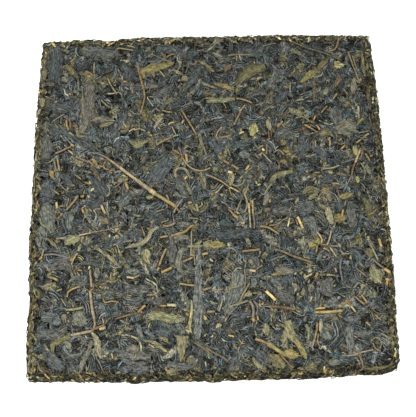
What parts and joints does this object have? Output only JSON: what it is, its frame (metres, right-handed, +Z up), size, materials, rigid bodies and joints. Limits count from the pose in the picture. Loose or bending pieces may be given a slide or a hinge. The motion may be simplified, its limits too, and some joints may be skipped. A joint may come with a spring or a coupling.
{
  "type": "dark tea brick",
  "caption": "Square brick of dark tea leaf pressed flat: a rough face of dark leaves with olive flakes and golden stems, worn rims and layered sides.",
  "frame": {"origin": "under the middle of the brick, on the flat face that it rests on", "axes": "+Z up, out of the pressed face that the picture shows; +X to the right and +Y away from the picture's near edge"},
  "size_m": [0.2026, 0.2028, 0.0292],
  "materials": {
    "pressed_leaf": "dry slate-dark tea leaf, pressed flat, with a dull sheen on the largest leaves and dark gaps between them",
    "olive_leaf": "dry olive and faded yellow-green leaf, matt, at the rims and scattered over the face",
    "golden_stem": "dry golden-tan leaf stems, some brown or greyish, faintly ribbed along their length"
  },
  "bodies": {
    "root": {"tea_brick": "pressed_leaf"}
  },
  "joints": []
}
